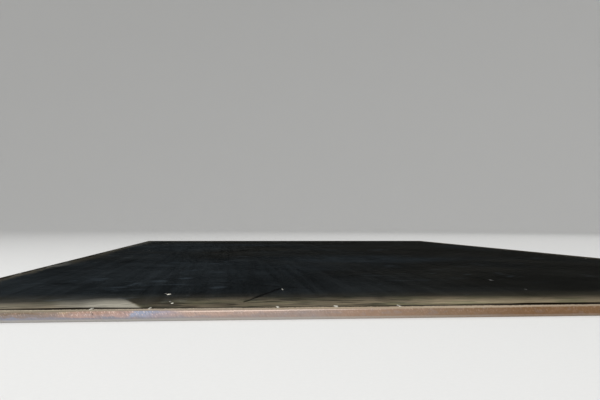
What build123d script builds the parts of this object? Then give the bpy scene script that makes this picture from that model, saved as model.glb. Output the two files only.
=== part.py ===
from build123d import *
from math import radians, sin
import os

# Hot-rolled steel plate, torch-cut to a stock size on all four sides. Lengths are in millimetres, angles in degrees.
# The origin is the centre of the underside. X runs along the short front edge, Y towards the back, and Z up.
# The plate is one rolled piece, so it is one solid. Its drag lines and scale are too fine for this model.

# Stock size
plate_width = 1500.0
plate_length = 3000.0
plate_thickness = 15.0

# Section of the cut sides, which lean in towards the top
kerf_bevel = 1.5
top_arris_radius = 1.8
bottom_arris_chamfer = 0.6
corner_radius = 2.5

# Drag gouge in the front cut: a short scoop, placed by its middle, with its lower end to the right
gouge_from_left_side = 255.0
gouge_height = 9.5
gouge_lean = 29.0
gouge_length = 7.0
gouge_depth = 0.45
gouge_radius = 1.2

# Nick in the back cut, where the torch came in and ran out
nick_from_right_side = 60.0
nick_radius = 1.6
nick_depth = 1.2

# How far the nick's cutter runs past both faces of the plate
cutter_overrun = 10.0

# The plate has its full size just above the bottom chamfer, so the blank's base is larger by the lean below that
lost_to_chamfer = 2 * bottom_arris_chamfer * sin(radians(kerf_bevel))
base_width = plate_width + lost_to_chamfer
base_length = plate_length + lost_to_chamfer


def plate_blank():
    """The plate with its sides leaning in towards the top, as a torch leaves them."""
    outline = RectangleRounded(base_width, base_length, corner_radius)
    return extrude(outline, amount=plate_thickness, taper=kerf_bevel)


def dress_arrises(blank):
    """Melt the top arris to a round and break the crisp bottom one."""
    rounded = fillet(blank.edges().group_by(Axis.Z)[-1], top_arris_radius)
    return chamfer(rounded.edges().group_by(Axis.Z)[0], bottom_arris_chamfer)


def cut_side(side_angle):
    """Plane at mid-height of a cut side, with X along it, Y up it and Z outwards. Angle 0 is the front."""
    to_bottom_line = (base_width if side_angle % 180 else base_length) / 2
    upright = Plane((0, -to_bottom_line, 0), x_dir=(1, 0, 0), z_dir=(0, -1, 0))
    return Rot(Z=side_angle) * upright * Rot(X=-kerf_bevel) * Pos(0, plate_thickness / 2, 0)


def drag_gouge():
    """Slanted scoop that the jet tore in the front cut, cut by a round-rimmed wheel that rolls along it."""
    along_front = gouge_from_left_side - plate_width / 2
    up_the_cut = gouge_height - plate_thickness / 2
    wheel_radius = gouge_length**2 / (8 * gouge_depth) + gouge_depth / 2
    wheel = Rot(Y=90) * Torus(wheel_radius - gouge_radius, gouge_radius)
    biting = Pos(0, 0, wheel_radius - gouge_depth) * wheel
    return cut_side(0) * Pos(along_front, up_the_cut, 0) * Rot(Z=gouge_lean) * biting


def lead_in_nick():
    """Groove down the back cut at the start and end of the torch's path, cut by an upright rod."""
    along_back = nick_from_right_side - plate_width / 2
    rod = Rot(X=90) * Cylinder(nick_radius, plate_thickness + 2 * cutter_overrun)
    return cut_side(180) * Pos(along_back, 0, nick_radius - nick_depth) * rod


def steel_plate():
    """The finished plate: one solid."""
    return dress_arrises(plate_blank()) - drag_gouge() - lead_in_nick()


os.makedirs("parts", exist_ok=True)
export_step(steel_plate(), "parts/steel_plate.step")
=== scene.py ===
"""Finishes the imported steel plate: torch-cut sides, mill scale and spatter, on a plain pale stage."""

import math

import bmesh
import bpy
import numpy as np
from bpy.props import FloatProperty, FloatVectorProperty, IntProperty, PointerProperty
from mathutils import Matrix, Vector
from mathutils.geometry import delaunay_2d_cdt


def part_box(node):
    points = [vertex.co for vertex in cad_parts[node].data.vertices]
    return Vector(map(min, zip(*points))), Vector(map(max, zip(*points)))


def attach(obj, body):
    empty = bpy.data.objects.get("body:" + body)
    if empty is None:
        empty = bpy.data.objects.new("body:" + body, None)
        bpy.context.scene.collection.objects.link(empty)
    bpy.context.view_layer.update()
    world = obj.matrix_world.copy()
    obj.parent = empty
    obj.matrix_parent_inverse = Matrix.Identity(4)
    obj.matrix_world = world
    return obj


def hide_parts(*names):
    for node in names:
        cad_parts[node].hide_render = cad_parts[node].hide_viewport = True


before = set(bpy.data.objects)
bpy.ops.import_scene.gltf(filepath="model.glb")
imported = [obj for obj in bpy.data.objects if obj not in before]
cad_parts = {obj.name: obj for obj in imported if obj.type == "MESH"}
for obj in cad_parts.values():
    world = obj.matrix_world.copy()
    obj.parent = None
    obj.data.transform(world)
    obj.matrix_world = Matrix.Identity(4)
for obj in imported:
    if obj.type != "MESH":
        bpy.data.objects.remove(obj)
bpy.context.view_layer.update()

bl_info = {
    "name": "Torch-cut steel plate",
    "version": (1, 0, 0),
    "blender": (4, 5, 0),
    "location": "3D View > Sidebar > Steel plate",
    "description": "Torch-cut sides, mill scale and spatter for a stock steel plate, on a plain stage",
    "category": "Add Mesh",
}

MM = 0.001
PLATE_NODE = "steel_plate"
BODY = "root"

LOW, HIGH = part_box(PLATE_NODE)
HALF_WIDTH = HIGH.x
HALF_LENGTH = HIGH.y
THICKNESS = HIGH.z - LOW.z


def srgb(red, green, blue):
    """Linear colour of a paint that is written in 0 to 255."""
    shares = [level / 255 for level in (red, green, blue)]
    return tuple(s / 12.92 if s <= 0.04045 else ((s + 0.055) / 1.055) ** 2.4 for s in shares)


# Tints of oxide and heat on the cut
TINTS = {
    "tan": srgb(136, 117, 98),
    "sand": srgb(156, 137, 123),
    "honey": srgb(196, 172, 140),
    "salmon": srgb(184, 152, 136),
    "rose": srgb(187, 158, 148),
    "blush": srgb(190, 162, 156),
    "sky": srgb(164, 171, 192),
    "steel": srgb(140, 148, 168),
    "lilac": srgb(178, 164, 172),
    "shell": srgb(190, 163, 150),
    "pearl": srgb(166, 148, 139),
    "clay": srgb(165, 137, 117),
    "umber": srgb(144, 118, 94),
    "rust": srgb(129, 97, 65),
    "slate": srgb(148, 146, 154),
    "haze": srgb(144, 131, 126),
    "stone": srgb(161, 153, 153),
    "bronze": srgb(142, 131, 112),
    "fawn": srgb(155, 142, 125),
    "buff": srgb(168, 151, 128),
    "straw": srgb(184, 166, 143),
}

# Tint by place along the front, in metres from the plate's middle: three bands up the cut, and the arris
UPPER_TINTS = (
    (-0.600, "tan"), (-0.565, "tan"), (-0.545, "sand"), (-0.539, "sand"), (-0.532, "honey"),
    (-0.525, "salmon"), (-0.490, "salmon"), (-0.456, "rose"), (-0.454, "sky"), (-0.434, "sky"),
    (-0.410, "lilac"), (-0.385, "shell"), (-0.340, "shell"), (-0.298, "shell"), (-0.240, "pearl"),
    (-0.187, "clay"), (-0.075, "umber"), (0.042, "rust"), (0.300, "rust"), (0.520, "umber"),
    (0.750, "clay"),
)
MIDDLE_TINTS = (
    (-0.600, "haze"), (-0.550, "haze"), (-0.520, "rose"), (-0.456, "blush"), (-0.453, "sky"),
    (-0.438, "sky"), (-0.426, "lilac"), (-0.385, "shell"), (-0.340, "shell"), (-0.290, "pearl"),
    (-0.240, "pearl"), (-0.187, "clay"), (-0.075, "umber"), (0.042, "rust"), (0.400, "rust"),
    (0.750, "umber"),
)
LOWER_TINTS = (
    (-0.600, "slate"), (-0.594, "steel"), (-0.588, "slate"), (-0.540, "slate"), (-0.500, "slate"),
    (-0.440, "slate"), (-0.389, "stone"), (-0.330, "pearl"), (-0.240, "pearl"), (-0.187, "clay"),
    (-0.075, "umber"), (0.042, "rust"), (0.400, "rust"), (0.750, "umber"),
)
ARRIS_TINTS = (
    (-0.600, "bronze"), (-0.520, "bronze"), (-0.470, "fawn"), (-0.350, "fawn"), (-0.200, "buff"),
    (-0.060, "straw"), (0.040, "straw"), (0.100, "buff"), (0.400, "fawn"), (0.750, "bronze"),
)

# Shares from 0 to 1 by place along the front: the painted light and shade on the torch's drag lines and
# their painted glints, the painted highlight of a cream line above its middle, the bare line at its foot,
# and the dark line behind its top
STREAKING = (
    (-0.750, 0.06), (-0.545, 0.06), (-0.530, 0.17), (-0.440, 0.15), (-0.380, 0.10), (-0.300, 0.07),
    (-0.200, 0.05), (-0.050, 0.04), (0.100, 0.04), (0.300, 0.05), (0.450, 0.04), (0.750, 0.06),
)
HIGHLIGHT_LINE = (
    (-0.440, 0.0), (-0.405, 0.1), (-0.380, 0.9), (-0.330, 1.0), (-0.272, 1.0), (-0.242, 0.75),
    (-0.200, 0.50), (-0.160, 0.30), (-0.110, 0.0), (0.250, 0.0), (0.330, 0.4), (0.420, 0.0),
)
FOOT = (
    (-0.750, 0.8), (-0.300, 0.8), (-0.150, 0.55), (0.000, 0.30), (0.300, 0.25), (0.750, 0.6),
)
HEAT_LINE = (
    (-0.750, 0.75), (-0.588, 0.74), (-0.565, 0.92), (-0.545, 1.00), (-0.507, 0.94), (-0.466, 0.86),
    (-0.417, 0.82), (-0.336, 0.75), (-0.310, 0.95), (-0.261, 0.95), (-0.229, 0.70), (-0.185, 0.98),
    (-0.120, 0.92), (-0.057, 0.80), (-0.025, 0.80), (-0.003, 0.92), (0.049, 1.00), (0.130, 1.00),
    (0.750, 0.85),
)
# How far the dark line reaches behind the cut, in metres
HEAT_REACH = (
    (-0.750, 0.0135), (-0.588, 0.0142), (-0.548, 0.0166), (-0.525, 0.0192), (-0.507, 0.0190),
    (-0.482, 0.0185), (-0.466, 0.0165), (-0.449, 0.0142), (-0.439, 0.0124), (-0.417, 0.0080),
    (-0.336, 0.0072), (-0.310, 0.0098), (-0.261, 0.0085), (-0.229, 0.0060), (-0.185, 0.0088),
    (-0.107, 0.0092), (-0.082, 0.0128), (-0.057, 0.0136), (-0.031, 0.0172), (-0.003, 0.0193),
    (0.022, 0.0178), (0.049, 0.0227), (0.120, 0.0205), (0.400, 0.0165), (0.750, 0.0150),
)

# The paler scale beside the front cut, a painted lit band along the front edge: how pale it is, from 0 to
# 1, and where it starts and ends to fade, in metres behind the cut
PALENESS = (
    (-0.750, 0.49), (-0.595, 0.62), (-0.550, 0.57), (-0.538, 0.57), (-0.525, 0.71), (-0.510, 0.77),
    (-0.495, 0.88), (-0.468, 1.00), (-0.440, 1.00), (-0.4355, 0.36), (-0.428, 0.24), (-0.400, 0.30),
    (-0.369, 0.50), (-0.335, 0.38), (-0.271, 0.58), (-0.204, 0.46), (-0.136, 0.60), (-0.101, 0.59),
    (-0.068, 0.75), (-0.033, 1.00), (0.002, 1.00), (0.038, 0.84), (0.109, 0.74), (0.146, 0.62),
    (0.300, 0.58), (0.520, 0.36), (0.750, 0.40),
)
FADE_START = (
    (-0.750, 0.050), (-0.590, 0.048), (-0.560, 0.032), (-0.500, 0.028), (-0.468, 0.052),
    (-0.441, 0.052), (-0.432, 0.028), (-0.400, 0.060), (-0.335, 0.075), (-0.271, 0.050),
    (-0.170, 0.045), (-0.040, 0.032), (0.146, 0.036), (0.750, 0.040),
)
FADE_END = (
    (-0.750, 0.095), (-0.590, 0.092), (-0.550, 0.122), (-0.500, 0.122), (-0.468, 0.140),
    (-0.441, 0.136), (-0.432, 0.070), (-0.400, 0.117), (-0.335, 0.140), (-0.200, 0.138),
    (0.040, 0.132), (0.146, 0.122), (0.750, 0.122),
)
# The painted lit band leans: its pattern shifts this far to the left for each metre behind the cut
PALE_LEAN = 0.30
# Places along the front: where the ashen patch of the painted lit band ends, the middle of its dark
# dashes, and where the melted arris is widest
ASHEN_END, DASHES_AT, WIDE_ARRIS = -0.39, -0.25, -0.06
# How far behind the front cut its own pattern gives way to the chance one
OWN_REACH = (0.12, 0.16)

# Marks on the top face that show at the front. Scratches have both ends, the width and the strength
SCRATCHES = (
    ((-0.319, -1.452), (-0.247, -1.232), 8.0 * MM, 0.95),
    ((-0.379, -1.107), (-0.162, -1.307), 13.0 * MM, 0.8),
    ((-0.404, -1.409), (-0.354, -1.236), 4.0 * MM, 0.5),
)
# Rubs and smears have the middle and half the size across and along
RUBS = (
    ((-0.455, -1.108), (0.018, 0.030)),
    ((-0.411, -1.046), (0.018, 0.030)),
    ((-0.352, -1.230), (0.016, 0.024)),
    ((-0.507, -1.217), (0.018, 0.024)),
    ((-0.112, -1.457), (0.016, 0.009)),
)
SMEARS = (
    ((-0.205, -1.426), (0.022, 0.007)),
    ((-0.166, -1.434), (0.014, 0.006)),
    ((-0.279, -1.436), (0.016, 0.005)),
    ((-0.328, -1.466), (0.010, 0.010)),
    ((-0.612, -1.146), (0.030, 0.020)),
    ((-0.400, -1.447), (0.030, 0.007)),
)

# Spatter on the top face that shows at the front: place, half width and half length in millimetres, and
# how pale it looks, from 0 to 1
FACE_BEADS = (
    (-0.4190, -1.3320, 2.8, 7.5, 1.00), (-0.4240, -1.3220, 1.8, 4.0, 0.45),
    (-0.4060, -1.4450, 1.6, 6.0, 1.00), (-0.4105, -1.4250, 1.4, 5.0, 0.50),
    (-0.2520, -1.2710, 1.2, 12.0, 0.60), (0.1360, -1.1320, 2.4, 9.0, 0.12),
    (0.1240, -1.3010, 1.2, 5.0, 0.25),
)
# Splashes on the front arris and right behind it: place along it, half width in millimetres, and how pale
ARRIS_SPLASHES = (
    (-0.497, 2.0, 0.85), (-0.429, 1.3, 0.95), (-0.276, 1.8, 1.00), (-0.204, 2.6, 1.00),
    (-0.125, 1.8, 0.90),
)
# How far in from the side a splash behind the arris lies, and half its length
SPLASH_INSET = 8.3 * MM
SPLASH_REACH = 5.2 * MM
# Droplets on the melted arris: how far in and how far below the top they sit, and half their thickness
DROPLET_INSET = 0.86 * MM
DROPLET_DROP = 0.58 * MM
DROPLET_SIZE = 0.45 * MM
# How lumpy splashes and other drops are, as a share of their size, and how many times it they may reach
SPLASH_LUMPS, SPLASH_ROOM = 0.13, 1.4
DROP_LUMPS, DROP_ROOM = 0.07, 1.2
# How thin a drop's foot is beside its dome
FOOT_SHARE = 0.35
# How far drops stay inside the plate's box
CLEARANCE = 0.02 * MM
# Slag under the cut: where the drop that shows at the front hangs, and how fresh slag looks
SLAG_DROP = -0.108
SLAG_FRESH = 0.85
# How many chance splashes, splashes by the arris, droplets and drops of slag are strewn
SPLASHES, NEAR_SPLASHES, DROPLETS, SLAGS = 150, 70, 60, 70

# Marks in the cuts that the solid has too
GOUGE_FROM_LEFT = 255 * MM
GOUGE_HEIGHT = 9.5 * MM
GOUGE_LEAN = math.radians(29)
GOUGE_LENGTH = 7.0 * MM
GOUGE_RADIUS = 1.2 * MM
GOUGE_DEPTH = 0.45 * MM
NICK_FROM_RIGHT = 60 * MM
NICK_RADIUS = 1.6 * MM
NICK_DEPTH = 1.2 * MM

# Unevenness of the cut, each with the length of its waves: the share by which the arris's radius swings,
# the depths of the cut's sway and of the arris's droop, and the share by which drag lines vary up the cut
MELT_SWING, MELT_WAVE = 0.22, 0.030
SWAY, SWAY_WAVE = 0.08 * MM, 0.110
DROOP, DROOP_WAVE = 0.025 * MM, 0.045
JITTER, JITTER_WAVE = 0.35, 0.012
# Places on the front whose tints the other sides take: their middle, swing and limit, and a wave's length
TINT_MIDDLE, TINT_SWING, TINT_LIMIT, TINT_WAVE = -0.12, 0.7, 0.6, 1.5

# The faces: depth just behind the arris, and where the lip and the waves set in, from the nearest side
FACE_DROP = 0.05 * MM
LIP_START, LIP_END = 2 * MM, 8 * MM
WAVE_START, WAVE_END = 10 * MM, 150 * MM
# Rings of mesh points inside a face: how far in each lies, and its spacing. The grid starts further in
RINGS = ((6 * MM, 6 * MM), (18 * MM, 16 * MM), (42 * MM, 36 * MM))
GRID_INSET = 85 * MM

# The square map of the plate: its border, and where the bands of the top and the underside start and how
# wide they are
MAP_BORDER = 0.002
TOP_BAND = (0.560, 0.438)
UNDER_BAND = (0.310, 0.240)
# The pile of strips of cut side below the bands: its height, the length of side that a strip holds, and
# how much of a strip's room is filled each way
PILE = 0.300
STRIP = 0.6
STRIP_WIDE, STRIP_HIGH = 0.985, 0.86

# Lamps: place, aim and size, and the angle that their light is held in
KEY_LAMP = ((-2.8, -4.4, 3.8), (-0.3, -1.2, 0.0), (2.6, 2.0))
FILL_LAMP = ((3.2, 3.4, 5.0), (0.0, 0.4, 0.0), (2.8, 2.8))
LAMP_SPREAD = math.radians(110)


def number_setting(name, description, default, **kind):
    """A setting that holds a number."""
    return FloatProperty(name=name, description=description, default=default, **kind)


def length_setting(name, description, default):
    """A setting that holds a length."""
    return number_setting(name, description, default, unit="LENGTH", precision=5)


def colour_setting(name, description, default):
    """A setting that holds a colour."""
    return FloatVectorProperty(
        name=name, description=description, default=default, subtype="COLOR", min=0, max=1)


class PlateCut(bpy.types.PropertyGroup):
    """Shape of the torch-cut sides."""

    bevel: number_setting(
        "Kerf bevel", "How far the cut sides lean in towards the top", math.radians(1.5), subtype="ANGLE")
    arris_melt: length_setting("Arris melt", "Radius that the torch melts along the top arris", 1.8 * MM)
    bottom_break: length_setting("Bottom break", "Chamfer on the bottom arris", 0.6 * MM)
    corner_radius: length_setting("Corner radius", "Radius of the plate's four upright corners", 2.5 * MM)
    drag_pitch: length_setting("Drag line pitch", "Mean distance between drag lines", 3.6 * MM)
    drag_depth: length_setting("Drag line depth", "Typical depth of a drag line low on the cut", 0.08 * MM)
    drag_lag: length_setting("Drag lag", "How far a drag line trails the torch at the bottom", 7.5 * MM)
    seed: IntProperty(name="Seed", description="Which chance pattern is cut", default=7)


class PlateFaces(bpy.types.PropertyGroup):
    """Shape of the two rolled faces, which only go inwards from the full thickness."""

    lip: length_setting("Arris lip", "How far the melted arris stands above the face behind it", 0.25 * MM)
    wave: length_setting("Top wave", "Depth of the long rolling waves in the top face", 0.60 * MM)
    under_wave: length_setting("Underside wave", "Depth of the long waves in the underside", 0.35 * MM)
    grid: length_setting("Grid", "Distance between the mesh points that carry the waves", 55 * MM)


class PlateColours(bpy.types.PropertyGroup):
    """Colours of the faces, the arrises and the spatter, with the painted lit band and the painted
    highlights.
    """

    scale_dark: colour_setting("Mill scale, dark", "Darkest mill scale on the faces", srgb(29, 33, 35))
    scale_light: colour_setting("Mill scale, light", "Palest sound mill scale", srgb(49, 54, 57))
    scale_warm: colour_setting(
        "Mill scale, warm", "Tint that its browner drifts are multiplied by", (0.86, 0.68, 0.50))
    rub: colour_setting("Rub", "Dusty blue-grey rubs on the scale", srgb(86, 96, 104))
    scratch: colour_setting("Scratch", "Dark lines dragged into the scale", srgb(16, 16, 17))
    # Colours of the painted lit band beside the cuts, paler scale that stands in for light: its
    # brown-grey, its olive drifts and its ashen patch
    margin: colour_setting("Cut margin", "Brown-grey scale that the torch dulled", srgb(173, 159, 134))
    olive: colour_setting("Cut margin, olive", "Olive drifts in the dulled scale", srgb(138, 138, 108))
    ash: colour_setting("Ash", "Palest patch of scale beside the cut", srgb(187, 182, 168))
    heat_line: colour_setting("Heat line", "Dark oxide line right behind the top arris", srgb(24, 15, 5))
    # Cream of the painted highlights on the cut: the line under the arris and the glints on the drag lines
    painted_highlight: colour_setting("Ridge", "Cream line just under the melted arris", srgb(250, 229, 214))
    foot: colour_setting("Bottom arris", "Bare grey line at the foot of the cut", srgb(175, 171, 164))
    bead: colour_setting("Spatter, fresh", "Bright skin of fresh spatter", srgb(240, 235, 220))
    bead_old: colour_setting("Spatter, old", "Dark skin of burnt spatter", srgb(34, 34, 34))


class PlateStage(bpy.types.PropertyGroup):
    """Camera, floor and light."""

    lens: number_setting("Lens", "Focal length on a 36 mm sensor, in millimetres", 42.0)
    camera_place: FloatVectorProperty(
        name="Camera place", description="Where the camera stands", subtype="XYZ", unit="LENGTH",
        default=(-0.3404, -2.3481, 0.1178))
    camera_turn: FloatVectorProperty(
        name="Camera turn", description="The camera's rotation", subtype="EULER",
        default=(math.radians(91.816), math.radians(-0.145), math.radians(-6.116)))
    floor: colour_setting("Floor", "Colour of the floor and its sweep", (0.75, 0.75, 0.74))
    daylight: number_setting("Daylight", "Strength of the even light from all round", 0.62)
    key: number_setting("Key light", "Power of the soft light at the front left", 76.0, subtype="POWER")
    fill: number_setting("Fill light", "Power of the soft light at the back right", 31.0, subtype="POWER")


GROUPS = {
    "plate_cut": PlateCut,
    "plate_faces": PlateFaces,
    "plate_colours": PlateColours,
    "plate_stage": PlateStage,
}


# Outline and section of the plate


class Outline:
    """The plan outline, measured along the torch's path, which runs clockwise seen from above."""

    FRONT, LEFT, BACK, RIGHT = range(4)

    def __init__(self, corner_radius):
        self.radius = corner_radius
        self.straights = [2 * (HALF_WIDTH - corner_radius), 2 * (HALF_LENGTH - corner_radius)] * 2
        self.arc = corner_radius * math.pi / 2
        self.length = sum(self.straights) + 4 * self.arc
        back_end = self.side_start(self.BACK) + self.straights[self.BACK] + corner_radius
        self.start = back_end - NICK_FROM_RIGHT

    def side_start(self, side):
        """Distance along the outline from the front right corner to the start of a side's straight."""
        return sum(self.straights[:side]) + side * self.arc

    def run(self, side, along):
        """Torch distance of the point that lies some way along a side, from its first corner."""
        return (self.side_start(side) + along - self.radius - self.start) % self.length

    def at(self, run):
        """Points and outward normals at torch distances."""
        place = (np.asarray(run) + self.start) % self.length
        points = np.zeros((len(place), 2))
        normals = np.zeros((len(place), 2))
        centre = np.array([HALF_WIDTH - self.radius, -HALF_LENGTH + self.radius])
        for side, straight in enumerate(self.straights):
            heading = math.pi - side * math.pi / 2
            forward = np.array([math.cos(heading), math.sin(heading)])
            outward = np.array([-math.sin(heading), math.cos(heading)])
            past = place - self.side_start(side)
            flat = (past >= 0) & (past < straight)
            points[flat] = centre + outward * self.radius + forward * past[flat, None]
            normals[flat] = outward
            centre = centre + forward * straight
            bend = (past >= straight) & (past < straight + self.arc)
            angle = heading + math.pi / 2 - (past[bend] - straight) / self.radius
            turned = np.stack([np.cos(angle), np.sin(angle)], 1)
            points[bend] = centre + turned * self.radius
            normals[bend] = turned
        return points, normals

    def inside(self, run, inset):
        """The place that lies some way in from one torch distance."""
        points, normals = self.at([run])
        return points[0] - normals[0] * inset

    def outward(self, run):
        """Outward normal at one torch distance."""
        return self.at([run])[1][0]

    def turn(self, run):
        """Turn that lays a drop's width along the side at one torch distance."""
        across, back = self.outward(run)
        return Matrix.Rotation(math.atan2(back, across) + math.pi / 2, 3, "Z")


def smooth(value, low, high):
    """0 below low, 1 above high and an S between them."""
    share = np.clip((value - low) / (high - low), 0, 1)
    return share * share * (3 - 2 * share)


def from_edge(x, y):
    """Distance in from the nearest side."""
    return np.minimum(HALF_WIDTH - np.abs(x), HALF_LENGTH - np.abs(y))


def rolling_waves(x, y, rng, waves=9):
    """Long hills and hollows of a rolled face, from 0 to 1."""
    total = np.zeros_like(x)
    for _ in range(waves):
        length = rng.uniform(0.35, 1.3)
        heading = rng.uniform(0, math.pi)
        phase = rng.uniform(0, 2 * math.pi)
        total += np.sin((x * math.cos(heading) + y * math.sin(heading)) * 2 * math.pi / length + phase)
    return smooth(total / math.sqrt(waves), -1.4, 1.4)


def top_height(x, y, faces, seed):
    """Height of the top face, which lies a little below the melted arris."""
    inset = from_edge(x, y)
    lip = faces.lip * smooth(inset, LIP_START, LIP_END)
    waves = rolling_waves(x, y, np.random.default_rng(seed + 1))
    return THICKNESS - FACE_DROP - lip - faces.wave * waves * smooth(inset, WAVE_START, WAVE_END)


def under_height(x, y, faces, seed):
    """Height of the underside, which rests on its hills."""
    waves = rolling_waves(x, y, np.random.default_rng(seed + 2))
    return faces.under_wave * waves * smooth(from_edge(x, y), WAVE_START, WAVE_END)


class Groove:
    """A round-bottomed mark in the cut, which leans with the drag lines and may be a short scoop."""

    def __init__(self, run, height, lean, radius, depth, length=None):
        self.run = run
        self.height = height
        self.lean = lean
        self.radius = radius
        self.depth = depth
        self.reach = length / 2 if length else THICKNESS
        self.sweep = length ** 2 / (8 * depth) + depth / 2 if length else None

    def line(self, height):
        """Torch distance of the groove's middle line at a height."""
        return self.run - (self.height - height) * math.tan(self.lean)

    def bite(self, run, height, length):
        """How deep the groove is at points on the cut."""
        offset = (run - self.run + length / 2) % length - length / 2
        across = offset * math.cos(self.lean) - (height - self.height) * math.sin(self.lean)
        along = offset * math.sin(self.lean) + (height - self.height) * math.cos(self.lean)
        round_floor = np.sqrt(np.maximum(self.radius ** 2 - across ** 2, 0))
        if self.sweep is None:
            return np.maximum(round_floor - (self.radius - self.depth), 0)
        wheel = np.maximum((self.sweep - self.radius + round_floor) ** 2 - along ** 2, 0)
        found = np.maximum(np.sqrt(wheel) - (self.sweep - self.depth), 0)
        return np.where(round_floor > 0, found, 0)


class CutSides:
    """Points of the torch-cut sides: columns that trail like drag lines, and rows up the section."""

    FINE_STEP = 0.40 * MM

    def __init__(self, cut):
        self.cut = cut
        self.outline = Outline(cut.corner_radius)
        gouge_run = self.outline.run(Outline.FRONT, 2 * HALF_WIDTH - GOUGE_FROM_LEFT)
        self.grooves = (
            Groove(gouge_run, GOUGE_HEIGHT, GOUGE_LEAN, GOUGE_RADIUS, GOUGE_DEPTH, GOUGE_LENGTH),
            Groove(0.0, THICKNESS / 2, 0.0, NICK_RADIUS, NICK_DEPTH),
        )
        rng = np.random.default_rng(cut.seed)
        self.runs, self.drag = self.columns(rng)
        self.melt = cut.arris_melt * (1 + MELT_SWING * self.wander(MELT_WAVE, rng))
        self.sway = SWAY * (1 + self.wander(SWAY_WAVE, rng))
        self.droop = DROOP * (1 + self.wander(DROOP_WAVE, rng))
        self.tint = self.tint_places(rng)
        self.rows = [self.row(*step, rng) for step in self.section()]
        self.profile = [self.step(*step, cut.arris_melt, 0.0)[:2] for step in self.section()]

    def wander(self, wavelength, rng, waves=14):
        """Smooth chance variation from -1 to 1 at the columns, which closes round the path."""
        length = self.outline.length
        cycles = np.maximum(1, np.round(length / wavelength * rng.uniform(0.4, 1.8, waves)))
        phases = rng.uniform(0, 2 * math.pi, waves)
        total = sum(np.sin(2 * math.pi * c * self.runs / length + p) for c, p in zip(cycles, phases))
        return np.clip(total / math.sqrt(waves) / 1.4, -1, 1)

    def lag(self, height):
        """How far the cut trails the torch at a height."""
        return self.cut.drag_lag * np.clip(1 - height / THICKNESS, 0, 1) ** 1.3

    def fine_spans(self):
        """Stretches of the path that need close columns: the corners and the grooves."""
        outline = self.outline
        spans = []
        for side in range(4):
            end = (outline.side_start(side) + outline.straights[side] - outline.start) % outline.length
            spans.append((end - MM, end + outline.arc + self.cut.drag_lag + MM))
        for groove in self.grooves:
            middle, reach = groove.height, groove.reach
            heights = np.clip(np.linspace(middle - reach, middle + reach, 7), 0, THICKNESS)
            middles = groove.line(heights) + self.lag(heights)
            spans.append((middles.min() - 2 * groove.radius, middles.max() + 2 * groove.radius))
        return spans

    def columns(self, rng):
        """Torch distances of the columns, and the drag line's depth at each."""
        length = self.outline.length
        pitch = self.cut.drag_pitch
        runs = []
        depths = []
        run = 0.0
        while run < length - pitch:
            width = pitch * float(np.clip(rng.normal(1, 0.24), 0.5, 1.7))
            depth = self.cut.drag_depth * float(np.clip(rng.lognormal(0, 0.45), 0.3, 2.0))
            for share, fall in ((0.0, 0.0), (0.45, 1.0)):
                runs.append(run + share * width)
                depths.append(fall * depth)
            run += width
        found = np.array(runs)
        for begin, end in self.fine_spans():
            fine = np.arange(begin, end, self.FINE_STEP) % length
            found = found[(found - begin) % length > end - begin]
            found = np.append(found, fine)
        found = np.unique(np.round(found, 6))
        return found, np.interp(found, runs, depths)

    def tint_places(self, rng):
        """Places on the front whose tints the columns take: their own, or chance ones on other sides."""
        points, _ = self.outline.at(self.runs)
        chance = np.clip(TINT_MIDDLE + TINT_SWING * self.wander(TINT_WAVE, rng), -TINT_LIMIT, TINT_LIMIT)
        on_front = points[:, 1] < -HALF_LENGTH + self.outline.radius
        return np.where(on_front, points[:, 0], chance)

    def section(self):
        """Steps up the section: a height on the flat of the cut, or an angle round the melted arris."""
        flat = [0.0, self.cut.bottom_break] + [h * MM for h in (2.4, 4.4, 6.5, 8.6, 10.6, 12.1)]
        arris = [self.cut.bevel] + [math.radians(a) for a in (22, 44, 67, 90)]
        return [(h, None) for h in flat] + [(None, a) for a in arris]

    def step(self, height, angle, melt, droop):
        """Inset and height of a step up the section, and how much of a drag line's depth shows there."""
        foot = self.cut.bottom_break
        bevel = self.cut.bevel
        if angle is None:
            inset = (height - foot) * math.tan(bevel) if height >= foot else foot - height
            return inset, height, 0.35 + 0.65 * smooth(1 - height / THICKNESS, 0.1, 0.8)
        middle = THICKNESS - droop - melt
        inset = (middle - foot) * math.tan(bevel) + melt / math.cos(bevel) - melt * math.cos(angle)
        return inset, middle + melt * math.sin(angle), 0.35 * math.cos(angle)

    def row(self, height, angle, rng):
        """One row of points round the plate, with how deep in a drag line each lies."""
        inset, level, share = self.step(height, angle, self.melt, self.droop)
        heights = np.full(len(self.runs), level)
        runs = self.runs - self.lag(heights)
        drag = self.drag * share * (1 + JITTER * self.wander(JITTER_WAVE, rng, 24))
        bite = sum(groove.bite(runs, heights, self.outline.length) for groove in self.grooves)
        inset = inset + np.maximum(self.sway * min(1, 3 * share) + drag, bite)
        points, normals = self.outline.at(runs)
        places = np.column_stack([points - normals * inset[:, None], heights])
        return {"points": places, "drag": drag, "bite": bite}


def face_points(grid):
    """Points inside a face: rings that thin out from the rim, then a loose grid."""
    found = []
    for inset, spacing in RINGS:
        wide, long = HALF_WIDTH - inset, HALF_LENGTH - inset
        across = np.linspace(-wide, wide, round(2 * wide / spacing))
        along = np.linspace(-long, long, round(2 * long / spacing))
        found += [(x, y) for x in across for y in (-long, long)]
        found += [(x, y) for y in along[1:-1] for x in (-wide, wide)]
    wide, long = HALF_WIDTH - GRID_INSET, HALF_LENGTH - GRID_INSET
    for number, y in enumerate(np.linspace(-long, long, round(2 * long / grid))):
        shift = grid / 4 * (-1) ** number
        found += [(x + shift, y) for x in np.linspace(-wide, wide, round(2 * wide / grid))]
    return np.array(found)


def fill_face(rim, inner):
    """Triangles over a face, anticlockwise from above, as numbers of the rim's and the inner points."""
    points = [Vector(p) for p in np.concatenate([rim, inner])]
    edges = [(i, (i + 1) % len(rim)) for i in range(len(rim))]
    found, _, triangles, origin, _, _ = delaunay_2d_cdt(points, edges, [], 1, 1e-7)
    if len(found) != len(points):
        raise RuntimeError("points of the face merged while it was filled")
    index = [ids[0] for ids in origin]
    return [[index[i] for i in triangle] for triangle in triangles]


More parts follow.
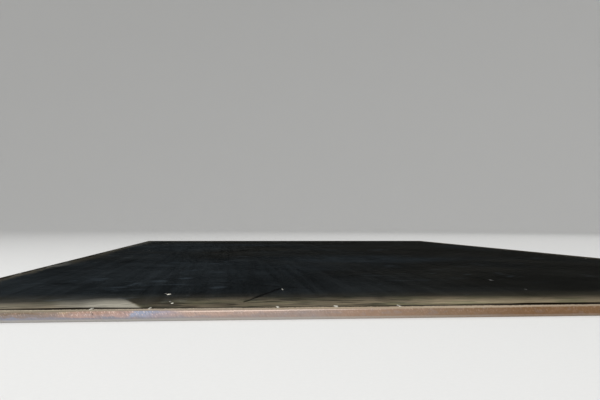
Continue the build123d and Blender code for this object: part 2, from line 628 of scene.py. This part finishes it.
def plate_mesh(cut, faces):
    """The whole plate as one closed mesh, with its sides in material 0 and its faces in material 1."""
    sides = CutSides(cut)
    count = len(sides.runs)
    rows = len(sides.rows)
    points = [row["points"] for row in sides.rows]
    quads = []
    for low in range(0, (rows - 1) * count, count):
        for here in range(count):
            after = (here + 1) % count
            quads.append((low + after, low + here, low + count + here, low + count + after))
    inner = face_points(faces.grid)
    triangles = []
    for row, height in ((0, under_height), (rows - 1, top_height)):
        first = sum(len(p) for p in points)
        rim = points[row][:, :2]
        levels = height(inner[:, 0], inner[:, 1], faces, cut.seed)
        points.append(np.column_stack([inner, levels]))
        for corners in fill_face(rim, inner):
            ids = [c + row * count if c < count else c - count + first for c in corners]
            triangles.append(ids if row else ids[::-1])
    mesh = bpy.data.meshes.new("plate")
    mesh.from_pydata(np.concatenate(points).tolist(), [], quads + triangles)
    mesh.shade_smooth()
    mesh.polygons.foreach_set("material_index", np.repeat([0, 1], [len(quads), len(triangles)]))
    add_measures(mesh, sides, len(quads))
    sharpen(mesh, count, (0, 1, rows - 1))
    mesh.update()
    return mesh


def add_measures(mesh, sides, quad_count):
    """What the paint reads: drag depth, tint place, gouging, and a map of torch distance and height."""
    rows = sides.rows
    measures = {
        "drag": np.concatenate([row["drag"] for row in rows]) / (2 * sides.cut.drag_depth),
        "tint_place": np.tile(sides.tint, len(rows)),
        "gouged": np.clip(np.concatenate([row["bite"] for row in rows]) / GOUGE_DEPTH, 0, 1),
    }
    for name, on_sides in measures.items():
        values = np.zeros(len(mesh.vertices))
        values[:len(on_sides)] = on_sides
        mesh.attributes.new(name, "FLOAT", "POINT").data.foreach_set("value", values)
    corners = np.zeros(len(mesh.loops), np.int64)
    mesh.loops.foreach_get("vertex_index", corners)
    run = np.zeros(len(corners))
    on_side = 4 * quad_count
    run[:on_side] = sides.runs[corners[:on_side] % len(sides.runs)]
    by_quad = run[:on_side].reshape(-1, 4)
    by_quad[by_quad < by_quad.max(1, keepdims=True) - sides.outline.length / 2] += sides.outline.length
    run[:on_side] = by_quad.ravel()
    places = np.array([vertex.co for vertex in mesh.vertices])[corners]
    path = mesh.uv_layers.new(name="torch_path")
    path.uv.foreach_set("vector", np.column_stack([run, places[:, 2]]).ravel())
    spread_map(mesh, sides, corners, places, run[:on_side])


def spread_map(mesh, sides, corners, places, run):
    """Lays the plate out on one square map: the faces as wide bands, the sides as a pile of strips."""
    spread = np.zeros((len(corners), 2))
    along = (places[:, 1] + HALF_LENGTH) / (2 * HALF_LENGTH)
    across = (places[:, 0] + HALF_WIDTH) / (2 * HALF_WIDTH)
    on_top = places[:, 2] > THICKNESS / 2
    top, under = (low + wide * across for low, wide in (TOP_BAND, UNDER_BAND))
    spread[:, 0] = MAP_BORDER + (1 - 2 * MAP_BORDER) * along
    spread[:, 1] = np.where(on_top, top, under)
    steps = [0.0] + [math.dist(a, b) for a, b in zip(sides.profile, sides.profile[1:])]
    climb = np.cumsum(steps) / sum(steps)
    strips = math.ceil(sides.outline.length / STRIP)
    strip = np.repeat(np.minimum(run.reshape(-1, 4).min(1) // STRIP, strips - 1), 4)
    rise = climb[corners[:len(run)] // len(sides.runs)]
    spread[:len(run), 0] = MAP_BORDER + STRIP_WIDE * (run - strip * STRIP) / STRIP
    spread[:len(run), 1] = MAP_BORDER + PILE / strips * (strip + STRIP_HIGH * rise)
    mesh.uv_layers.new(name="OFBake").uv.foreach_set("vector", spread.ravel())


def sharpen(mesh, count, rows):
    """Keeps the shading crisp along whole rows of points."""
    ends = np.zeros(2 * len(mesh.edges), np.int64)
    mesh.edges.foreach_get("vertices", ends)
    row_of = ends.reshape(-1, 2) // count
    crisp = (row_of[:, 0] == row_of[:, 1]) & np.isin(row_of[:, 0], rows)
    mesh.attributes.new("sharp_edge", "BOOLEAN", "EDGE").data.foreach_set("value", crisp)


# Spatter


class Spatter:
    """Collects the droplets of the cut in one shape."""

    def __init__(self):
        self.shape = bmesh.new()
        self.fresh = self.shape.verts.layers.float.new("fresh")

    def drop(self, place, size, turn, fresh, rng, lump=DROP_LUMPS):
        """Adds a droplet that froze on a surface: a lumpy dome on a flat foot."""
        made = bmesh.ops.create_icosphere(self.shape, subdivisions=2, radius=1.0)
        lumps = rng.uniform(-1, 1, (3, 3))
        for vertex in made["verts"]:
            point = vertex.co
            point *= 1 + lump * sum(math.sin(3 * point.dot(Vector(way))) for way in lumps)
            if point.z < 0:
                point.z *= FOOT_SHARE
            vertex.co = Vector(place) + turn @ (point * Vector(size))
            vertex[self.fresh] = fresh

    def mesh(self):
        """The finished mesh."""
        made = bpy.data.meshes.new("spatter_beads")
        self.shape.to_mesh(made)
        self.shape.free()
        made.shade_smooth()
        return made


def spatter_mesh(cut, faces):
    """All the beads: splashes on the top face, droplets on its arris, and drops of slag under the cut."""
    rng = np.random.default_rng(cut.seed + 5)
    outline = Outline(cut.corner_radius)
    spatter = Spatter()
    for x, y, wide, long, fresh in face_splashes(outline, rng):
        heading = 0.0 if HALF_LENGTH - abs(y) < HALF_WIDTH - abs(x) else math.pi / 2
        level = float(top_height(x, y, faces, cut.seed))
        room = THICKNESS - level - CLEARANCE
        turn = Matrix.Rotation(heading + rng.normal(0, 0.12), 3, "Z")
        size = (wide, long, min(wide, room / SPLASH_ROOM))
        spatter.drop((x, y, level), size, turn, fresh, rng, SPLASH_LUMPS)
    for run, wide, fresh in arris_droplets(outline, rng):
        x, y = outline.inside(run, DROPLET_INSET)
        turn = outline.turn(run) @ Matrix.Rotation(math.radians(45), 3, "X")
        size = (wide, DROPLET_SIZE, DROPLET_SIZE)
        spatter.drop((x, y, THICKNESS - DROPLET_DROP), size, turn, fresh, rng)
    slag = [outline.run(Outline.FRONT, HALF_WIDTH - SLAG_DROP)]
    slag += [run for run in rng.uniform(0, outline.length, SLAGS) if clear_of_corners(outline, run)]
    for run in slag:
        thick = rng.uniform(0.24, 0.29) * MM
        inset = DROP_ROOM * thick + CLEARANCE
        size = (thick * rng.uniform(3, 7), thick, thick)
        spatter.drop((*outline.inside(run, inset), inset), size, outline.turn(run), SLAG_FRESH, rng)
    return spatter.mesh()


def face_splashes(outline, rng):
    """Splashes on the top face: place, half width, half length and freshness."""
    splashes = [(x, y, wide * MM, long * MM, fresh) for x, y, wide, long, fresh in FACE_BEADS]
    for run in rng.uniform(0, outline.length, SPLASHES):
        x, y = outline.inside(run, LIP_END + rng.exponential(0.05))
        wide = (0.5 + 0.9 * rng.random() ** 3) * MM
        if not seen_from_front(x, y) and from_edge(x, y) > LIP_END:
            splashes.append((x, y, wide, wide * rng.uniform(1.3, 3.0), rng.uniform(0.25, 0.8)))
    for x, wide, fresh in ARRIS_SPLASHES:
        splashes.append((x, SPLASH_INSET - HALF_LENGTH, wide * MM, SPLASH_REACH, fresh))
    for run in rng.uniform(0, outline.length, NEAR_SPLASHES):
        x, y = outline.inside(run, rng.uniform(5.5, 7.0) * MM)
        if not seen_from_front(x, y) and from_edge(x, y) > 5 * MM:
            splashes.append((x, y, rng.uniform(1.0, 2.0) * MM, 3 * MM, rng.uniform(0.3, 0.9)))
    return splashes


def arris_droplets(outline, rng):
    """Droplets on the melted arris: torch distance, half width and freshness."""
    found = []
    for x, wide, fresh in ARRIS_SPLASHES:
        found.append((outline.run(Outline.FRONT, HALF_WIDTH - x), wide * MM, fresh))
    for run in rng.uniform(0, outline.length, DROPLETS):
        if clear_of_corners(outline, run):
            found.append((run, rng.uniform(0.6, 1.5) * MM, rng.uniform(0.3, 0.9)))
    return found


def seen_from_front(x, y):
    """Whether a place lies in the part of the top face where every bead is listed one by one."""
    return y < -1.0 and -0.64 < x < 0.25


def clear_of_corners(outline, run):
    """Whether a torch distance is clear of the corners and of where drops are listed one by one."""
    normal = outline.outward(run)
    straight = all(normal @ outline.outward(run + step) > 0.999 for step in (-5 * MM, 5 * MM))
    return straight and not seen_from_front(*outline.inside(run, 0.0))


# Paint


class Wire:
    """What a node gives out. Wires can be reckoned with as plain numbers are."""

    def __init__(self, paint, socket):
        self.paint = paint
        self.socket = socket

    def __add__(self, other):
        return self.paint.calc("ADD", self, other)

    def __sub__(self, other):
        return self.paint.calc("SUBTRACT", self, other)

    def __rsub__(self, other):
        return self.paint.calc("SUBTRACT", other, self)

    def __mul__(self, other):
        return self.paint.calc("MULTIPLY", self, other)

    def __truediv__(self, other):
        return self.paint.calc("DIVIDE", self, other)

    def __pow__(self, other):
        return self.paint.calc("POWER", self, other)

    def __abs__(self):
        return self.paint.calc("ABSOLUTE", self)

    __radd__ = __add__
    __rmul__ = __mul__


class Paint:
    """One material and short ways to wire its nodes."""

    def __init__(self, name):
        self.material = bpy.data.materials.new(name)
        self.material.use_nodes = True
        self.tree = self.material.node_tree
        self.tree.nodes.clear()

    def wire(self, socket, value):
        """Sets a socket's own value, or links a wire to it."""
        if isinstance(value, Wire):
            self.tree.links.new(value.socket, socket)
        elif socket.type == "RGBA":
            socket.default_value = (*value[:3], 1.0)
        else:
            socket.default_value = value

    def node(self, kind, inputs=None, **settings):
        """A new node with its settings, and its inputs by name or number."""
        made = self.tree.nodes.new("ShaderNode" + kind)
        for name, value in settings.items():
            setattr(made, name, value)
        for name, value in (inputs or {}).items():
            self.wire(made.inputs[name], value)
        return made

    def out(self, kind, inputs=None, output=0, **settings):
        """What a new node gives out at one output, by name or number."""
        return Wire(self, self.node(kind, inputs, **settings).outputs[output])

    def calc(self, operation, *values):
        """A sum on numbers, such as ADD or MINIMUM."""
        return self.out("Math", dict(enumerate(values)), operation=operation)

    def least(self, first, second):
        """The smaller of two numbers."""
        return self.calc("MINIMUM", first, second)

    def most(self, first, second):
        """The larger of two numbers."""
        return self.calc("MAXIMUM", first, second)

    def vector(self, operation, *values, output=0):
        """A sum on vectors, such as ADD or DOT_PRODUCT."""
        return self.out("VectorMath", dict(enumerate(values)), output, operation=operation)

    def attribute(self, name):
        """A number that the mesh carries."""
        return self.out("Attribute", None, "Fac", attribute_name=name)

    def noise(self, vector, scale, detail=3.0, roughness=0.55, distortion=0.0, output="Fac"):
        """Cloudy chance pattern from 0 to 1, mostly near a half."""
        inputs = {"Vector": vector, "Scale": scale, "Detail": detail, "Roughness": roughness,
                  "Distortion": distortion}
        return self.out("TexNoise", inputs, output)

    def stretched(self, vector, factors, detail=3.0, roughness=0.55, distortion=0.0, turn=0.0):
        """Chance pattern that runs in streaks: its coordinates are turned about Z and then scaled."""
        if turn:
            vector = self.out("Mapping", {"Vector": vector, "Rotation": (0, 0, turn)})
        return self.noise(self.vector("MULTIPLY", vector, factors), 1.0, detail, roughness, distortion)

    def nudged(self, vector, scale, amount):
        """Coordinates that chance pushes about by up to the amount."""
        cloud = self.noise(vector, scale, 3.0, 0.5, output="Color")
        push = self.vector("SUBTRACT", cloud, (0.5, 0.5, 0.5))
        return self.vector("MULTIPLY_ADD", push, (2 * amount,) * 3, vector)

    def rise(self, value, low, high, start=0.0, end=1.0):
        """An S from start to end while the value goes from low to high."""
        inputs = {"Value": value, "From Min": low, "From Max": high, "To Min": start, "To Max": end}
        return self.out("MapRange", inputs, "Result", interpolation_type="SMOOTHSTEP")

    def mix(self, share, first, second, blend="MIX"):
        """Two colours mixed."""
        return self.out("Mix", {0: share, 6: first, 7: second}, 2, data_type="RGBA", blend_type=blend)

    def along(self, value, stops):
        """A colour or grey by place along the front, from stops in metres."""
        inputs = {"Value": value, "From Min": -HALF_WIDTH, "From Max": HALF_WIDTH}
        made = self.node("ValToRGB", {"Fac": self.out("MapRange", inputs, "Result")})
        elements = made.color_ramp.elements
        while len(elements) < len(stops):
            elements.new(0.5)
        for element, (place, tone) in zip(elements, stops):
            element.position = (place + HALF_WIDTH) / (2 * HALF_WIDTH)
            element.color = (*TINTS[tone], 1) if isinstance(tone, str) else (tone, tone, tone, 1)
        return Wire(self, made.outputs["Color"])

    def finish(self, color, roughness, height, distance, **fixed):
        """Ends in one shader. The fixed sockets hold what is the same all over."""
        bump = self.out("Bump", {"Strength": 1.0, "Distance": distance, "Height": height})
        inputs = {"Base Color": color, "Roughness": roughness, "Normal": bump}
        inputs.update({name.replace("_", " "): value for name, value in fixed.items()})
        self.node("OutputMaterial", {"Surface": self.out("BsdfPrincipled", inputs)})
        return self.material


def scratch_share(paint, place, start, end, width):
    """1 on a straight scratch and 0 off it."""
    begin, finish = Vector((*start, 0)), Vector((*end, 0))
    forward = (finish - begin).normalized()
    half = (finish - begin).length / 2
    away = paint.vector("SUBTRACT", place, (begin + finish) / 2)
    along = abs(paint.vector("DOT_PRODUCT", away, forward, output="Value"))
    across = abs(paint.vector("DOT_PRODUCT", away, (forward.y, -forward.x, 0), output="Value"))
    narrowed = paint.rise(along, 0.7 * half, 1.1 * half, 0.0, 0.8 * width)
    frayed = paint.rise(paint.noise(place, 45.0, 4.0, 0.7), 0.35, 0.65, 0.24 * width, -0.14 * width)
    return paint.rise(across + narrowed + frayed, 0.10 * width, 0.60 * width, 1.0, 0.0)


def spots_share(paint, place, spots):
    """1 in the middle of oval spots and 0 outside them."""
    share = 0.0
    for (x, y), (wide, long) in spots:
        off = paint.vector("MULTIPLY_ADD", place, (1 / wide, 1 / long, 0), (-x / wide, -y / long, 0))
        far = paint.vector("LENGTH", off, output="Value")
        share = paint.most(share, paint.rise(far, 0.35, 1.1, 1.0, 0.0))
    return share


class ScalePlace:
    """Where a point of the rolled faces lies, as the paint needs it."""

    def __init__(self, paint):
        self.at = paint.out("TexCoord", output="Object")
        self.ground = paint.vector("MULTIPLY", self.at, (1, 1, 60))
        self.x, y, z = (Wire(paint, socket) for socket in paint.node("SeparateXYZ", {0: self.at}).outputs)
        self.on_top = paint.rise(z, 0.3 * THICKNESS, 0.7 * THICKNESS)
        self.from_side = HALF_WIDTH - abs(self.x)
        self.from_end = HALF_LENGTH - abs(y)
        self.from_front = HALF_LENGTH + y
        self.from_edge = paint.least(self.from_side, self.from_end)
        other_end = paint.least(HALF_LENGTH - y, self.from_front + self.on_top)
        self.from_other = paint.least(self.from_side, other_end)
        self.by_front = self.on_top * paint.rise(self.from_front, OWN_REACH[1], OWN_REACH[0])
        self.by_front = self.by_front * paint.rise(self.from_side, 0.0, 0.03)


def sound_scale(paint, place, colours):
    """Colour of the sound scale, with rolling streaks, drifts, rubs and flakes, and how pale it is."""
    blotches = paint.rise(paint.noise(place.ground, 5.0, 7.0, 0.62), 0.34, 0.68)
    streaks = paint.rise(paint.stretched(place.at, (60, 1.3, 60), 5.0, 0.6), 0.34, 0.66)
    tone = 0.6 * blotches + 0.4 * streaks
    color = paint.mix(tone, colours.scale_dark, colours.scale_light)
    browner = paint.noise(place.ground, 1.1, 3.0) - 0.5
    browner = browner * paint.rise(place.from_front, 0.2, 1.0, 1.0, 4.0)
    drift = place.x * paint.rise(place.from_front, 0.2, 1.2, 1.0, 0.3) + browner
    color = paint.mix(paint.rise(drift, -0.45, 0.25, 0.0, 0.8), color, colours.scale_warm, "MULTIPLY")

    rubbed = paint.rise(paint.noise(place.ground, 15.0, 5.0, 0.6, 0.8), 0.56, 0.72)
    rubbed = rubbed * paint.rise(paint.noise(place.ground, 3.3, 2.0), 0.46, 0.60)
    named = place.on_top * spots_share(paint, paint.nudged(place.at, 22.0, 0.016), RUBS)
    color = paint.mix(paint.most(0.4 * rubbed, 0.3 * named), color, colours.rub)
    flakes = paint.rise(paint.noise(place.ground, 70.0, 4.0, 0.65), 0.66, 0.70)
    flakes = flakes * paint.rise(paint.noise(place.ground, 5.0, 2.0), 0.50, 0.62, 0.0, 0.5)
    color = paint.mix(flakes, color, colours.rub)
    grain = paint.rise(paint.noise(place.ground, 420.0, 4.0, 0.7), 0.25, 0.75, 0.86, 1.14)
    return paint.mix(1.0, color, grain, "MULTIPLY"), tone


def dark_lines(paint, place):
    """Share of the scratches and smears, chance ones everywhere and known ones at the front."""
    hairs = paint.rise(paint.stretched(place.at, (330, 5, 60), 1.0, turn=0.55), 0.70, 0.76)
    cross = paint.rise(paint.stretched(place.at, (6, 300, 60), 1.0, turn=0.32), 0.71, 0.77)
    known = 0.6 * spots_share(paint, paint.nudged(place.at, 22.0, 0.006), SMEARS)
    bent = paint.nudged(place.at, 30.0, 0.0012)
    for start, end, width, strength in SCRATCHES:
        known = paint.most(known, strength * scratch_share(paint, bent, start, end, width))
    return paint.most(known * place.on_top, 0.4 * paint.most(hairs, cross))


def painted_lit_band(paint, place):
    """Shares of the painted lit band beside the cuts, paler scale that stands in for light, and of its
    ashen patch: the known one at the front.
    """
    leaned = PALE_LEAN * place.from_front + place.x
    along_end = paint.stretched(place.at, (30, 80, 60), 4.0, 0.65)
    along_side = paint.stretched(place.at, (80, 30, 60), 4.0, 0.65)
    nearer = paint.rise(place.from_side - place.from_end, -0.02, 0.02)
    cloud = along_end * nearer + along_side * (1 - nearer)
    push = 0.05 * (cloud - 0.5)

    palest = paint.along(0.45 * push + leaned, PALENESS)
    fade = {
        "Value": 0.5 * push + place.from_front,
        "From Min": paint.along(leaned, FADE_START),
        "From Max": paint.along(leaned, FADE_END),
        "To Min": 1.0,
        "To Max": 0.0,
    }
    tail = paint.rise(1.2 * push + place.from_front, 0.060, 0.200, 0.15, 0.0)
    front = paint.most(palest * paint.out("MapRange", fade, "Result"), tail) * place.on_top

    chance = paint.noise(place.ground, 2.6, 4.0, 0.6)
    reach = (place.from_other + push) / paint.rise(chance, 0.36, 0.66, 0.030, 0.065)
    other = paint.rise(reach, 0.25, 1.1, 1.0, 0.0) * paint.rise(chance, 0.66, 0.36, 0.08, 0.30)
    share = paint.most(front, other) * paint.rise(cloud, 0.28, 0.72, 0.70, 1.24)
    ashen = paint.rise(palest, 0.40, 0.95) * paint.rise(place.x, ASHEN_END + 0.01, ASHEN_END - 0.01)
    dashes = paint.rise(paint.stretched(place.at, (22, 85, 60), 3.0, 0.6), 0.51, 0.64)
    dashed = paint.rise(abs(place.x - DASHES_AT), 0.15, 0.20, 0.65, 0.15)
    scored = dashes * dashed * place.by_front * (1 - ashen)
    return paint.least(share * (1 - scored), 1.0), ashen


def mill_scale(colours):
    """Rolled faces: dark scale with streaks and scratches, a painted lit band of paler scale beside the
    cuts, and a dark heat line.
    """
    paint = Paint("mill_scale")
    place = ScalePlace(paint)
    color, tone = sound_scale(paint, place, colours)
    margin, ashen = painted_lit_band(paint, place)
    # The painted lit band: paler brown-grey scale with olive drifts and an ashen patch, beside the cuts
    drift = paint.rise(paint.stretched(place.at, (14, 26, 60)), 0.44, 0.62, 0.0, 0.6)
    lit_band_tone = paint.mix(drift, colours.margin, colours.olive)
    color = paint.mix(margin, color, paint.mix(ashen, lit_band_tone, colours.ash))
    color = paint.mix(dark_lines(paint, place), color, colours.scratch)

    rag = paint.noise(place.ground, 60.0, 3.0)
    slow = paint.noise(place.ground, 9.0, 2.0)
    strength = paint.rise(rag, 0.3, 0.7, 0.6, 0.95)
    strength = paint.mix(place.by_front, strength, paint.along(place.x, HEAT_LINE))
    reach = paint.rise(slow, 0.3, 0.7, 0.006, 0.016)
    reach = paint.mix(place.by_front, reach, paint.along(place.x, HEAT_REACH))
    ragged = 0.003 * rag + (place.from_edge - 0.0015)
    heat = paint.rise(ragged - reach, -0.0022, 0.0022, 1.0, 0.0) * strength
    color = paint.mix(heat, color, colours.heat_line)

    roughness = paint.rise(tone + margin, 0.0, 1.6, 0.58, 0.84)
    relief = paint.noise(place.ground, 420.0, 4.0, 0.7) + rag
    return paint.finish(color, roughness, relief, 0.05 * MM, Metallic=0.75, Specular_IOR_Level=0.0,
                        Specular_Tint=(0.06, 0.06, 0.06))


def heat_tints(paint, path, place, level):
    """Colour of the bare cut: three bands of tint up it, with flecks of two of them."""
    color = paint.along(place, LOWER_TINTS)
    for low, high, tints in ((4.2, 7.0, MIDDLE_TINTS), (8.0, 10.0, UPPER_TINTS)):
        color = paint.mix(paint.rise(level, low * MM, high * MM), color, paint.along(place, tints))
    flecks = paint.stretched(path, (80, 200, 1), 2.0, 0.5, 0.5)
    flecked = paint.rise(place, -0.15, 0.05, 0.25, 0.14)
    for none, full, tint in ((0.52, 0.70, "slate"), (0.48, 0.30, "salmon")):
        color = paint.mix(paint.rise(flecks, none, full) * flecked, color, TINTS[tint])
    return color


def torch_cut(colours):
    """Cut sides: heat tints, drag lines that trail the torch with painted light and shade and painted
    glints, a painted highlight line, a melted beige arris and a bare foot.
    """
    paint = Paint("torch_cut")
    path = paint.out("UVMap", uv_map="torch_path")
    height = paint.out("SeparateXYZ", {0: path}, "Y")
    drift = paint.stretched(path, (55, 130, 1), 4.0, 0.6) - 0.5
    place = 0.045 * drift + paint.attribute("tint_place")
    color = heat_tints(paint, path, place, 0.010 * drift + height)

    # Painted light and shade of the drag lines: streaks painted lighter and darker, the drag-line hollows
    # darker as painted shade and oxide, and painted shade in the gouge and the nick
    streaks = paint.stretched(path, (380, 30, 1), 3.0, 0.6)
    streaking = paint.along(place, STREAKING)
    swing = paint.rise(streaks, 0.3, 0.7, -1.0, 1.0) * paint.rise(height, 5 * MM, 10 * MM, 0.5, 1.0)
    shade = 1 + swing * streaking - 0.12 * paint.attribute("drag")
    gouged = paint.rise(paint.attribute("gouged"), 0.0, 0.8, 1.0, 0.5)
    color = paint.mix(1.0, color, shade * gouged, "MULTIPLY")
    # Painted glints: small cream highlights on the drag lines, strongest high on the cut
    painted_glints = paint.rise(paint.stretched(path, (760, 300, 1), 1.0), 0.58, 0.68)
    painted_glints = painted_glints * paint.rise(height, 3 * MM, 11.5 * MM, 0.5, 4.5)
    color = paint.mix(painted_glints * streaking, color, colours.painted_highlight)

    wavy = 0.0012 * streaks + (height - 0.0006)
    off_wide = abs(place - WIDE_ARRIS)
    arris_foot = paint.rise(place, -0.550, -0.510, 11.7 * MM, 12.3 * MM)
    arris_foot = arris_foot + paint.rise(off_wide, 0.06, 0.12, -0.5 * MM, 0.0)
    arris = paint.rise(wavy - arris_foot, -0.4 * MM, 0.4 * MM)
    color = paint.mix(arris, color, paint.along(place, ARRIS_TINTS))
    # A painted highlight: a cream line across the cut just under the melted arris
    off_highlight = abs(wavy - paint.rise(place, -0.375, -0.195, 10.85 * MM, 11.45 * MM))
    painted_highlight = paint.rise(off_highlight, 0.2 * MM, 0.8 * MM, 1.0, 0.0) * paint.along(place, HIGHLIGHT_LINE)
    color = paint.mix(painted_highlight, color, colours.painted_highlight)
    foot = paint.rise(wavy, 2.2 * MM, 3.7 * MM, 1.0, 0.0) * paint.along(place, FOOT)
    color = paint.mix(foot, color, colours.foot)
    heat_foot = paint.rise(off_wide, 0.08, 0.14, 14.20 * MM, 14.42 * MM)
    heat = paint.rise(wavy - heat_foot, -0.2 * MM, 0.2 * MM) * paint.along(place, HEAT_LINE)
    color = paint.mix(heat, color, colours.heat_line)

    roughness = paint.most(paint.rise(streaks, 0.3, 0.7, 0.40, 0.52), 0.9 * heat)
    relief = streaks + paint.stretched(path, (1800, 900, 1), 2.0)
    return paint.finish(color, roughness, relief, 0.04 * MM, Metallic=0.28, Specular_IOR_Level=0.4)


def bead_skin(colours):
    """Spatter: from burnt dark to fresh and bright, as each drop carries it, with a mottled skin."""
    paint = Paint("spatter_skin")
    mottle = paint.noise(paint.out("TexCoord", output="Object"), 900.0, 3.0)
    share = paint.attribute("fresh") ** 2.2 * paint.rise(mottle, 0.35, 0.6, 0.55, 1.15)
    color = paint.mix(paint.least(share, 1.0), colours.bead_old, colours.bead)
    return paint.finish(color, paint.rise(mottle, 0.3, 0.7, 0.35, 0.5), mottle, 0.03 * MM, Metallic=0.2)


# Stage


def stage_paint(floor):
    """Matt pale paper with a faint tooth."""
    paint = Paint("pale_paper")
    tooth = paint.noise(paint.out("TexCoord", output="Object"), 220.0, 4.0)
    tone = paint.mix(paint.rise(tooth, 0.3, 0.7), floor, [0.985 * level for level in floor])
    roughness = paint.rise(tooth, 0.3, 0.7, 0.82, 0.9)
    return paint.finish(tone, roughness, tooth, 0.05 * MM, Specular_IOR_Level=0.0)


def sweep_mesh():
    """A round floor that sweeps up all round in a long curve, so that it has no seam from any side."""
    flat, bend, wall, steps = 6.7, 6.5, 9.0, 96
    profile = [(0.02, 0.0), (2.0, 0.0), (flat, 0.0)]
    for angle in np.linspace(0.04, math.pi / 2, 28):
        profile.append((flat + bend * math.sin(angle), bend * (1 - math.cos(angle))))
    profile.append((flat + bend, wall))
    points = []
    for turn in range(steps):
        angle = 2 * math.pi * turn / steps
        points += [(r * math.cos(angle), r * math.sin(angle), z - 0.05 * MM) for r, z in profile]
    quads = []
    for turn in range(steps):
        here, there = turn * len(profile), (turn + 1) % steps * len(profile)
        quads += [(here + i, there + i, there + i + 1, here + i + 1) for i in range(len(profile) - 1)]
    quads.append([turn * len(profile) for turn in range(steps)][::-1])
    mesh = bpy.data.meshes.new("sweep")
    mesh.from_pydata(points, [], quads)
    mesh.shade_smooth()
    return mesh


def soft_light(name, place, target, size, power):
    """A large gridded lamp that faces a point, so that it doesn't burn out the floor beneath it."""
    lamp = bpy.data.lights.new(name, "AREA")
    lamp.spread = LAMP_SPREAD
    lamp.shape = "RECTANGLE"
    lamp.size, lamp.size_y = size
    lamp.energy = power
    made = bpy.data.objects.new(name, lamp)
    made.location = place
    made.rotation_euler = (Vector(target) - Vector(place)).to_track_quat("-Z", "Y").to_euler()
    bpy.context.scene.collection.objects.link(made)


def daylight(color, strength):
    """Even light from the whole sky."""
    world = bpy.data.worlds.new("daylight")
    world.use_nodes = True
    background = world.node_tree.nodes["Background"]
    background.inputs["Color"].default_value = (*color, 1)
    background.inputs["Strength"].default_value = strength
    bpy.context.scene.world = world


# Operators and panel


def show(mesh, materials):
    """Puts a mesh in the scene with its materials."""
    made = bpy.data.objects.new(mesh.name, mesh)
    for material in materials:
        mesh.materials.append(material)
    bpy.context.scene.collection.objects.link(made)
    return made


class STEEL_PLATE_OT_plate(bpy.types.Operator):
    """Build the plate with its torch-cut sides and rolled faces, in place of the plain solid"""

    bl_idname = "steel_plate.plate"
    bl_label = "Plate"

    def execute(self, context):
        scene = context.scene
        plate = show(plate_mesh(scene.plate_cut, scene.plate_faces),
                     [torch_cut(scene.plate_colours), mill_scale(scene.plate_colours)])
        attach(plate, BODY)
        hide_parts(PLATE_NODE)
        return {"FINISHED"}


class STEEL_PLATE_OT_spatter(bpy.types.Operator):
    """Strew the beads that the torch threw on the plate"""

    bl_idname = "steel_plate.spatter"
    bl_label = "Spatter"

    def execute(self, context):
        scene = context.scene
        beads = show(spatter_mesh(scene.plate_cut, scene.plate_faces), [bead_skin(scene.plate_colours)])
        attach(beads, BODY)
        return {"FINISHED"}


class STEEL_PLATE_OT_stage(bpy.types.Operator):
    """Set up the pale sweep, the soft light and the camera"""

    bl_idname = "steel_plate.stage"
    bl_label = "Stage"

    def execute(self, context):
        stage = context.scene.plate_stage
        show(sweep_mesh(), [stage_paint(stage.floor)])
        daylight((1.0, 1.0, 1.0), stage.daylight)
        soft_light("key", *KEY_LAMP, stage.key)
        soft_light("fill", *FILL_LAMP, stage.fill)
        lens = bpy.data.cameras.new("camera")
        lens.lens = stage.lens
        lens.sensor_width = 36.0
        lens.clip_start = 0.01
        camera = bpy.data.objects.new("camera", lens)
        camera.location = stage.camera_place
        camera.rotation_euler = stage.camera_turn
        context.scene.collection.objects.link(camera)
        context.scene.camera = camera
        context.scene.view_settings.view_transform = "Standard"
        return {"FINISHED"}


OPERATORS = (STEEL_PLATE_OT_plate, STEEL_PLATE_OT_spatter, STEEL_PLATE_OT_stage)


class STEEL_PLATE_PT_panel(bpy.types.Panel):
    """Sizes, colours and the steps that build the plate"""

    bl_label = "Steel plate"
    bl_space_type = "VIEW_3D"
    bl_region_type = "UI"
    bl_category = "Steel plate"

    def draw(self, context):
        for group, kind in GROUPS.items():
            box = self.layout.box()
            for name in kind.__annotations__:
                box.prop(getattr(context.scene, group), name)
        for operator in OPERATORS:
            self.layout.operator(operator.bl_idname)


CLASSES = (*GROUPS.values(), *OPERATORS, STEEL_PLATE_PT_panel)


def register():
    """Adds the classes, and their settings to the scene."""
    for kind in CLASSES:
        bpy.utils.register_class(kind)
    for name, kind in GROUPS.items():
        setattr(bpy.types.Scene, name, PointerProperty(type=kind))


def unregister():
    """Takes out what register added."""
    for name in GROUPS:
        delattr(bpy.types.Scene, name)
    for kind in reversed(CLASSES):
        bpy.utils.unregister_class(kind)


def main():
    """Builds everything in order."""
    register()
    bpy.ops.steel_plate.plate()
    bpy.ops.steel_plate.spatter()
    bpy.ops.steel_plate.stage()


if __name__ == "__main__":
    main()
